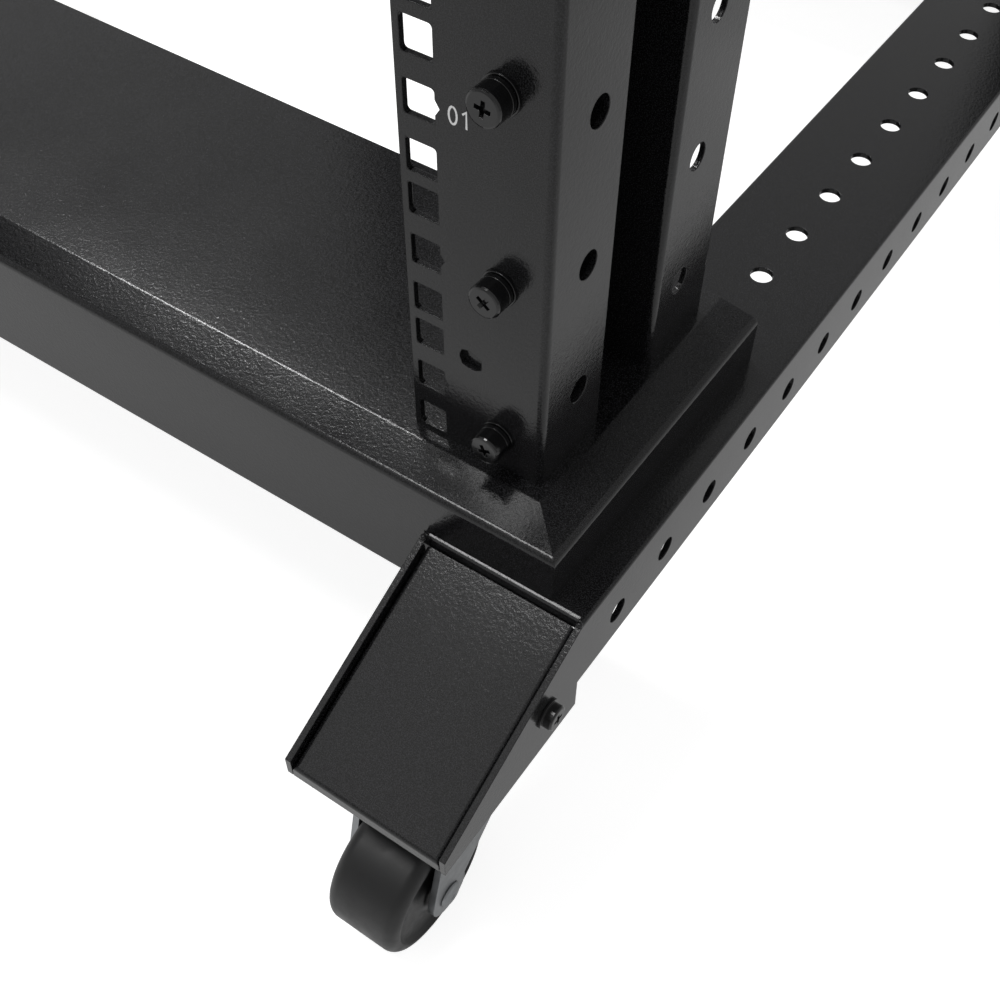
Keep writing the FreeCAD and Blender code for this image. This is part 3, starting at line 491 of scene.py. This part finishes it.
class RACK_OT_hole_edges(bpy.types.Operator):
    """Add the rolled edges of the round holes in the post lips and the base rails"""
    bl_idname = "rack.hole_edges"
    bl_label = "Edges of the round holes"

    def execute(self, context):
        sizes = context.scene.rack_sizes
        source = rolled_edge(sizes, POST_WALL)
        units = round((POST_TOP - POST_FOOT) / RACK_UNIT)
        for corner, sx, sy in CORNERS:
            shape = bmesh.new()
            for back in (sizes.angle_hole_back, sizes.column_hole_back):
                for i in range(units):
                    spot = Matrix.Translation((sx * POST_SIDE, sy * (POST_FACE - back),
                                               POST_FOOT + sizes.lip_hole_low + i * RACK_UNIT))
                    add_copy(shape, source, spot @ facing("side", sx, sy))
            new_piece("lip_hole_edges_" + corner, shape, "rack", "powder_coated_steel")
        bpy.data.meshes.remove(source)

        source = rolled_edge(sizes, RAIL_WALL)
        stations = round(2 * POST_FACE / sizes.rail_pitch)
        for side, sx in SIDES:
            shape = bmesh.new()
            for i in range(stations + 1):
                along = i * sizes.rail_pitch - POST_FACE
                spot = Matrix.Translation((sx * RAIL_HIGH[0], along, RAIL_TOP - sizes.rail_hole_drop))
                add_copy(shape, source, spot @ facing("side", sx, 1))
                if sizes.rail_plain_ends <= i <= stations - sizes.rail_plain_ends:
                    add_copy(shape, source, Matrix.Translation((sx * RAIL_MIDDLE, along, RAIL_TOP)))
            new_piece("rail_hole_edges_" + side, shape, "rack", "powder_coated_steel")
        bpy.data.meshes.remove(source)
        return {"FINISHED"}


def digit_strokes():
    """Strokes of each digit in a box one wide and two high."""
    six = arc(0.5, 0.58, 0.5, 0.58, 150, -210, 16)
    tail = [(0.02, 0.8)] + arc(1.02, 0.8, 1.0, 1.2, 170, 112, 5)
    nine = [[(1 - x, 2 - y) for x, y in stroke] for stroke in (six, tail)]
    return {
        "0": [arc(0.5, 1, 0.5, 1, 90, 450, 20)],
        "1": [[(0.12, 1.55), (0.62, 1.97), (0.62, 0)]],
        "2": [arc(0.5, 1.48, 0.47, 0.5, 165, -30) + [(0.03, 0.03), (1, 0.03)]],
        "3": [arc(0.46, 1.5, 0.44, 0.47, 150, -85) + arc(0.46, 0.53, 0.5, 0.52, 85, -150)],
        "4": [[(1, 0.5), (0, 0.5), (0.74, 2), (0.74, 0)]],
        "5": [[(0.92, 1.96), (0.2, 1.96), (0.08, 1.02)] + arc(0.46, 0.62, 0.5, 0.6, 120, -150)],
        "6": [six, tail],
        "7": [[(0, 1.96), (1, 1.96), (0.36, 0)]],
        "8": [arc(0.5, 1.52, 0.42, 0.47, 90, 450, 16), arc(0.5, 0.54, 0.5, 0.53, 90, 450, 16)],
        "9": nine,
    }


def add_stroke(shape, points, width):
    """Flat ribbon along a line of points, mitred at its bends."""
    points = [Vector(p) for p in points]
    sides = []
    for i, point in enumerate(points):
        before = (point - points[i - 1]).normalized() if i else None
        after = (points[i + 1] - point).normalized() if i + 1 < len(points) else None
        along = ((before or after) + (after or before)).normalized()
        across = Vector((-along.y, along.x))
        square = Vector((-(after or before).y, (after or before).x))
        across *= min(1.6, 1 / max(0.2, across.dot(square))) * width / 2
        sides.append([shape.verts.new((*(point + across * side), 0)) for side in (-1, 1)])
    for (a, b), (c, d) in zip(sides, sides[1:]):
        shape.faces.new((a, c, d, b))


def number_mesh(text, sizes):
    """Printed number centred on the origin, facing +Z, with the film of the ink as its thickness."""
    strokes = digit_strokes()
    shape = bmesh.new()
    tall = sizes.digit_height
    wide = sizes.digit_height / 2
    step = sizes.number_width - wide
    for place, digit in enumerate(text):
        for stroke in strokes[digit]:
            start = place * step - sizes.number_width / 2
            points = [(x * wide + start, (y / 2 - 0.5) * tall) for x, y in stroke]
            add_stroke(shape, points, sizes.digit_stroke)
    bmesh.ops.recalc_face_normals(shape, faces=shape.faces)
    bmesh.ops.solidify(shape, geom=shape.faces, thickness=-sizes.ink_film)
    return to_mesh(shape, "number")


class RACK_OT_unit_numbers(bpy.types.Operator):
    """Print the rack unit numbers beside the square holes"""
    bl_idname = "rack.unit_numbers"
    bl_label = "Unit numbers"

    def execute(self, context):
        sizes = context.scene.rack_sizes
        for corner, sx, sy in CORNERS:
            shape = bmesh.new()
            for unit in range(1, sizes.last_unit + 1):
                source = number_mesh("%02d" % unit, sizes)
                level = POST_FOOT + (sizes.first_unit + unit - 1) * RACK_UNIT + sizes.digit_drop
                spot = Matrix.Translation((sx * (POST_SIDE - sizes.digit_inset), sy * POST_FACE, level))
                upright = Matrix.Rotation(math.pi / 2, 4, "X")
                about = Matrix.Rotation(0 if sy < 0 else math.pi, 4, "Z")
                add_copy(shape, source, spot @ about @ upright)
                bpy.data.meshes.remove(source)
            new_piece("unit_numbers_" + corner, shape, "rack", "printed_ink")
        return {"FINISHED"}


def nose_bolt():
    """Round head with a cross recess on a flat washer, standing on Z = 0."""
    shape = bmesh.new()
    rim = 5.0 * MM
    top = 0.9 * MM
    edge = 0.1 * MM
    lathe(shape, ((0, 0), (rim - edge, 0), (rim, edge), (rim, top - edge), (rim - edge, top),
                  (3.6 * MM, top)), SMALL_STEPS)
    add_screw_head(shape, 4.1 * MM, top, high=3.9 * MM, chamfer=0.6 * MM,
                   slot_width=1.2 * MM, slot_length=4.0 * MM, slot_depth=1.6 * MM)
    return to_mesh(shape, "nose_bolt")


class RACK_OT_nose_bolts(bpy.types.Operator):
    """Add the bolts and the corner weld beads of each nose"""
    bl_idname = "rack.nose_bolts"
    bl_label = "Nose bolts"

    def execute(self, context):
        sizes = context.scene.rack_sizes
        source = nose_bolt()
        for corner, sx, sy in CORNERS:
            shape = bmesh.new()
            for across in (RAIL_LOW[0] + sizes.bead / 2, RAIL_HIGH[0] - sizes.bead / 2):
                place = (sx * across, sy * (-COVER_HIGH[1]), RAIL_TOP - sizes.bead / 4)
                bmesh.ops.create_uvsphere(shape, u_segments=14, v_segments=8, radius=sizes.bead / 2,
                                          matrix=Matrix.Translation(place))
            new_piece("nose_beads_" + corner, shape, "rack", "powder_coated_steel")
            shape = bmesh.new()
            along = sy * (NOSE_END - sizes.bolt_back)
            level = RAIL_LOW[2] + sizes.bolt_level
            for across, out in ((RAIL_HIGH[0], sx), (RAIL_LOW[0], -sx)):
                spot = Matrix.Translation((sx * across, along, level))
                add_copy(shape, source, spot @ facing("side", out, sy))
            new_piece("nose_bolts_" + corner, shape, "rack", "black_zinc_steel")
        bpy.data.meshes.remove(source)
        return {"FINISHED"}


def wheel_outline(radius, half):
    """Half outline of the wheel from the bore on one side, round the tread, to the other."""
    bore = 3.3 * MM
    hub = 9.0 * MM
    web_in = 11.0 * MM
    web_out = radius - 5.5 * MM
    dish = 1.8 * MM
    shoulder = 4.4 * MM
    face = half - 0.6 * MM
    one = [(bore, face), (hub - 0.4 * MM, face), (hub, half - 1.0 * MM),
           (web_in, half - dish), (web_out, half - dish), (web_out + 0.9 * MM, half - 0.3 * MM)]
    one += arc(radius - shoulder, half - shoulder, shoulder, shoulder, 90, 0, 8)
    one += [(radius, half * t) for t in (0.35, 0.03)]
    return one + [(radius, 0.0)] + [(r, -z) for r, z in reversed(one)]


def rivet_head():
    """Domed rivet head with a small dimple, standing on Z = 0."""
    shape = bmesh.new()
    lathe(shape, ((0, 0), (4.6 * MM, 0), (4.75 * MM, 0.25 * MM), (4.5 * MM, 0.9 * MM), (3.4 * MM, 1.5 * MM),
                  (2.2 * MM, 1.72 * MM), (1.5 * MM, 1.75 * MM), (1.2 * MM, 1.45 * MM), (0, 1.4 * MM)),
          ROUND_STEPS)
    return to_mesh(shape, "rivet")


def add_slab(shape, outline, low, high):
    """Closed slab of a (y, z) outline between two places along X."""
    rim = [shape.verts.new((low, y, z)) for y, z in outline]
    face = shape.faces.new(rim)
    grown = bmesh.ops.extrude_face_region(shape, geom=[face])["geom"]
    bmesh.ops.translate(shape, vec=(high - low, 0, 0), verts=verts_of(grown))


def pressed_fork(sizes):
    """Fork of pressed sheet: a crown with rounded shoulders and two legs that end round about the axle."""
    shape = bmesh.new()
    sheet = sizes.fork_sheet
    outer = (FORK_HIGH[0] - FORK_LOW[0]) / 2
    crown = FORK_HIGH[2]
    back = FORK_HIGH[1] + SWIVEL_AWAY
    leg_round = AXLE_LEVEL - FORK_LOW[2]
    lead = SWIVEL_AWAY - AXLE_AWAY
    shoulder = 2.2 * MM
    leg = [(-back, crown - shoulder), (back, crown - shoulder), (back, crown - 4 * sheet)]
    leg += arc(lead, AXLE_LEVEL, leg_round, leg_round, 10, -190, 18)
    for side in (-1, 1):
        add_slab(shape, leg, side * outer, side * (outer - sheet))
    shoulders = arc(outer - shoulder, crown - shoulder, shoulder, shoulder, 0, 90, 6)
    arch = shoulders + [(-x, z) for x, z in reversed(shoulders)]
    inner = [(x * (outer - sheet) / outer, z - sheet) for x, z in reversed(arch)]
    rim = [shape.verts.new((x, -back, z)) for x, z in arch + inner]
    count = len(arch)
    faces = [shape.faces.new((rim[i], rim[i + 1], rim[2 * count - 2 - i], rim[2 * count - 1 - i]))
             for i in range(count - 1)]
    grown = bmesh.ops.extrude_face_region(shape, geom=faces)["geom"]
    bmesh.ops.translate(shape, vec=(0, 2 * back, 0), verts=verts_of(grown))
    return to_mesh(shape, "pressed_fork")


class RACK_OT_caster_dress(bpy.types.Operator):
    """Model the wheels with their dished sides, the pressed forks and the rivet heads of the axles"""
    bl_idname = "rack.caster_dress"
    bl_label = "Wheels, forks and rivets"

    def execute(self, context):
        radius = (WHEEL_HIGH[2] - WHEEL_LOW[2]) / 2
        half = (WHEEL_HIGH[0] - WHEEL_LOW[0]) / 2
        shape = bmesh.new()
        outline = wheel_outline(radius, half)
        lathe(shape, outline + outline[:1], WHEEL_STEPS)
        wheel = to_mesh(shape, "wheel")
        rivet = rivet_head()
        seat = 1.0 * MM
        reach = (AXLE_HIGH[0] - AXLE_LOW[0]) / 2 - seat
        fork = pressed_fork(context.scene.rack_sizes)
        for corner, sx, sy in CORNERS:
            centre = Matrix.Translation((sx * RAIL_MIDDLE, sy * AXLE_AWAY, AXLE_LEVEL))
            shape = bmesh.new()
            add_copy(shape, wheel, centre @ Matrix.Rotation(math.pi / 2, 4, "Y"))
            piece = new_piece("moulded_wheel_" + corner, shape, "wheel_" + corner, "moulded_nylon")
            for face in piece.data.polygons:
                face.use_smooth = True
            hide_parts("caster_wheel_" + corner)
            shape = bmesh.new()
            turn = Matrix.Rotation(math.pi if sy > 0 else 0, 4, "Z")
            add_copy(shape, fork, Matrix.Translation((sx * RAIL_MIDDLE, sy * SWIVEL_AWAY, 0)) @ turn)
            piece = new_piece("pressed_fork_" + corner, shape, "fork_" + corner, "zinc_plated_steel")
            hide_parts("caster_fork_" + corner)
            shape = bmesh.new()
            for out in (-1, 1):
                spot = centre @ Matrix.Translation((out * reach, 0, 0))
                add_copy(shape, rivet, spot @ facing("side", out, sy))
            new_piece("axle_rivets_" + corner, shape, "fork_" + corner, "zinc_plated_steel")
        bpy.data.meshes.remove(wheel)
        bpy.data.meshes.remove(rivet)
        bpy.data.meshes.remove(fork)
        return {"FINISHED"}


class RACK_OT_stage(bpy.types.Operator):
    """Add the floor, the lamps and the camera"""
    bl_idname = "rack.stage"
    bl_label = "Floor, lamps and camera"

    def execute(self, context):
        scene = context.scene
        scene.view_settings.view_transform = "Standard"
        shape = bmesh.new()
        bmesh.ops.create_grid(shape, x_segments=1, y_segments=1, size=FLOOR_HALF)
        mesh = bpy.data.meshes.new("floor")
        shape.to_mesh(mesh)
        shape.free()
        floor = bpy.data.objects.new("floor", mesh)
        scene.collection.objects.link(floor)
        material, tree = new_material("pale_floor")
        path = add_node(tree, "ShaderNodeLightPath")
        plain = add_node(tree, "ShaderNodeBsdfDiffuse", values={"Color": tuple(scene.rack_colours.floor)})
        glow = add_node(tree, "ShaderNodeEmission", values={"Strength": FLOOR_GLOW})
        paler = add_node(tree, "ShaderNodeAddShader")
        tree.links.new(plain.outputs["BSDF"], paler.inputs[0])
        tree.links.new(glow.outputs["Emission"], paler.inputs[1])
        mirrored = add_node(tree, "ShaderNodeMath", settings={"operation": "MULTIPLY"})
        tree.links.new(path.outputs["Is Glossy Ray"], mirrored.inputs[0])
        mirrored.inputs[1].default_value = MIRRORED_GLOW
        seen = add_node(tree, "ShaderNodeMath", settings={"operation": "MAXIMUM"})
        tree.links.new(path.outputs["Is Camera Ray"], seen.inputs[0])
        tree.links.new(mirrored.outputs["Value"], seen.inputs[1])
        mixed = add_node(tree, "ShaderNodeMixShader")
        tree.links.new(seen.outputs["Value"], mixed.inputs["Fac"])
        tree.links.new(plain.outputs["BSDF"], mixed.inputs[1])
        tree.links.new(paler.outputs["Shader"], mixed.inputs[2])
        add_node(tree, "ShaderNodeOutputMaterial", links={"Surface": mixed.outputs["Shader"]})
        floor.data.materials.append(material)

        world = bpy.data.worlds.new("studio")
        world.use_nodes = True
        sky = world.node_tree.nodes["Background"]
        sky.inputs["Color"].default_value = linear("ffffff")
        # The camera sees a white backdrop, and the rack is lit at the plain level.
        seen = add_node(world.node_tree, "ShaderNodeLightPath").outputs["Is Camera Ray"]
        level = add_node(world.node_tree, "ShaderNodeMapRange",
                         values={"To Min": WORLD_LEVEL, "To Max": 1.0}, links={"Value": seen})
        world.node_tree.links.new(level.outputs["Result"], sky.inputs["Strength"])
        scene.world = world

        for name, place, wide, deep, power in LAMPS:
            lamp = bpy.data.lights.new(name, "AREA")
            lamp.shape = "RECTANGLE"
            lamp.energy = power
            lamp.size = wide
            lamp.size_y = deep
            holder = bpy.data.objects.new(name, lamp)
            holder.location = place
            scene.collection.objects.link(holder)

        # The camera looks down at the front right foot of the rack.
        camera = bpy.data.cameras.new("camera")
        camera.sensor_width = 36.0
        camera.lens = 45.83
        camera.shift_x = -0.0524
        camera.shift_y = 0.0138
        camera.clip_start = 0.01
        holder = bpy.data.objects.new("camera", camera)
        right = Vector((0.83536, 0.54833, 0.03882))
        up = -Vector((0.44587, -0.63457, -0.63128))
        look = Vector((-0.32152, 0.54466, -0.77458))
        turn = Matrix((right, up, -look)).transposed().to_4x4()
        spot = Vector((POST_SIDE + 0.12414, -POST_FACE - 0.20262, POST_FOOT + 0.27896))
        holder.matrix_world = Matrix.Translation(spot) @ turn
        scene.collection.objects.link(holder)
        scene.camera = holder
        return {"FINISHED"}


# Name, place, width, depth and power of each soft lamp.  All hang level above the rack.
LAMPS = (("key", (-0.5, -0.85, 2.3), 0.8, 0.5, 17.0), ("strip", (-1.1, 0.62, 2.15), 1.4, 0.2, 42.0),
         ("front", (-0.7, -2.0, 2.3), 1.4, 1.4, 3.0))
WORLD_LEVEL = 0.5
# Glow of the floor to the camera, and the share of it that glossy rays meet.
FLOOR_GLOW = 0.8
MIRRORED_GLOW = 0.36


class RACK_PT_panel(bpy.types.Panel):
    """Lists the steps in the sidebar"""
    bl_idname = "RACK_PT_panel"
    bl_label = "Open frame rack"
    bl_space_type = "VIEW_3D"
    bl_region_type = "UI"
    bl_category = "Rack"

    def draw(self, context):
        for step in STEPS:
            self.layout.operator(step.bl_idname)


STEPS = (RACK_OT_sheet_finish, RACK_OT_clamp_screws, RACK_OT_square_corners, RACK_OT_hole_edges,
         RACK_OT_unit_numbers, RACK_OT_nose_bolts, RACK_OT_caster_dress, RACK_OT_stage)
CLASSES = (RackSizes, RackColours) + STEPS + (RACK_PT_panel,)


def register():
    for cls in CLASSES:
        bpy.utils.register_class(cls)
    bpy.types.Scene.rack_sizes = PointerProperty(type=RackSizes)
    bpy.types.Scene.rack_colours = PointerProperty(type=RackColours)


def unregister():
    del bpy.types.Scene.rack_colours
    del bpy.types.Scene.rack_sizes
    for cls in reversed(CLASSES):
        bpy.utils.unregister_class(cls)


def main():
    register()
    bpy.ops.rack.sheet_finish()
    bpy.ops.rack.clamp_screws()
    bpy.ops.rack.square_corners()
    bpy.ops.rack.hole_edges()
    bpy.ops.rack.unit_numbers()
    bpy.ops.rack.nose_bolts()
    bpy.ops.rack.caster_dress()
    bpy.ops.rack.stage()


if __name__ == "__main__":
    main()
